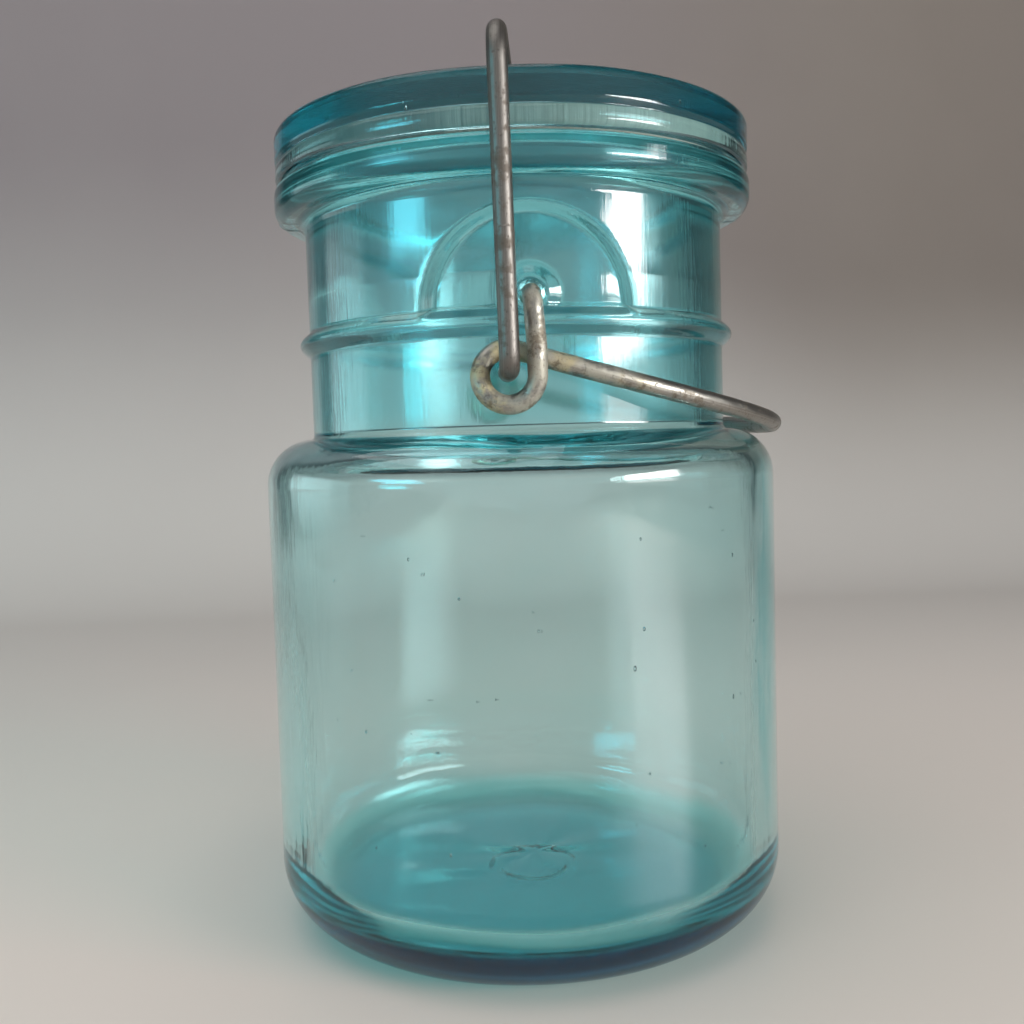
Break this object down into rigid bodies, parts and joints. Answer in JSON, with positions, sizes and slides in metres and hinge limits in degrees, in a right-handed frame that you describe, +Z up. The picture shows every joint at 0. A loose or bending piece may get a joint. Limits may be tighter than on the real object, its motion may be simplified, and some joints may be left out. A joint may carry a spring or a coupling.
{
  "type": "mason jar",
  "caption": "Round glass canning jar with a bossed neck and a glass lid that a wire bail and toggle lever hold down on a rubber ring.",
  "frame": {"origin": "centre of the jar's base, on the surface that it stands on", "axes": "+Z up along the jar's axis, the two lever sockets on the Y axis, the lever's yoke on the +X side"},
  "size_m": [0.0876, 0.0904, 0.1374],
  "materials": {
    "jar_glass": "clear aqua pressed glass with faint waves and seeds",
    "lid_glass": "clear aqua pressed glass, thicker and deeper in colour",
    "rubber": "matt pale rubber",
    "bail_metal": "dull old zinc-coated wire, drawn along its length",
    "lever_metal": "dull old zinc-coated wire with brown and chalky patches"
  },
  "bodies": {
    "jar": {"jar_body": "jar_glass", "sealing_ring": "rubber"},
    "lid": {"lid": "lid_glass"},
    "lever": {"lever_wire": "lever_metal"},
    "bail": {"bail_wire": "bail_metal"}
  },
  "joints": [
    {"name": "lever_lift", "type": "hinge", "parent": "jar", "child": "lever", "pos_m": [0, 0, 0.1], "axis": [0, -1, 0], "range_deg": [0, 48]},
    {"name": "bail_swing", "type": "hinge", "parent": "lever", "child": "bail", "pos_m": [-0.0034, 0, 0.0894], "axis": [0, -1, 0], "range_deg": [-38, 0]},
    {"name": "lid_lift", "type": "slide", "parent": "jar", "child": "lid", "axis": [0, 0, 1], "range_m": [0, 0.0005]}
  ],
  "couplings": [
    {"joint": "bail_swing", "follows": "lever_lift", "ratio": -0.769}
  ]
}
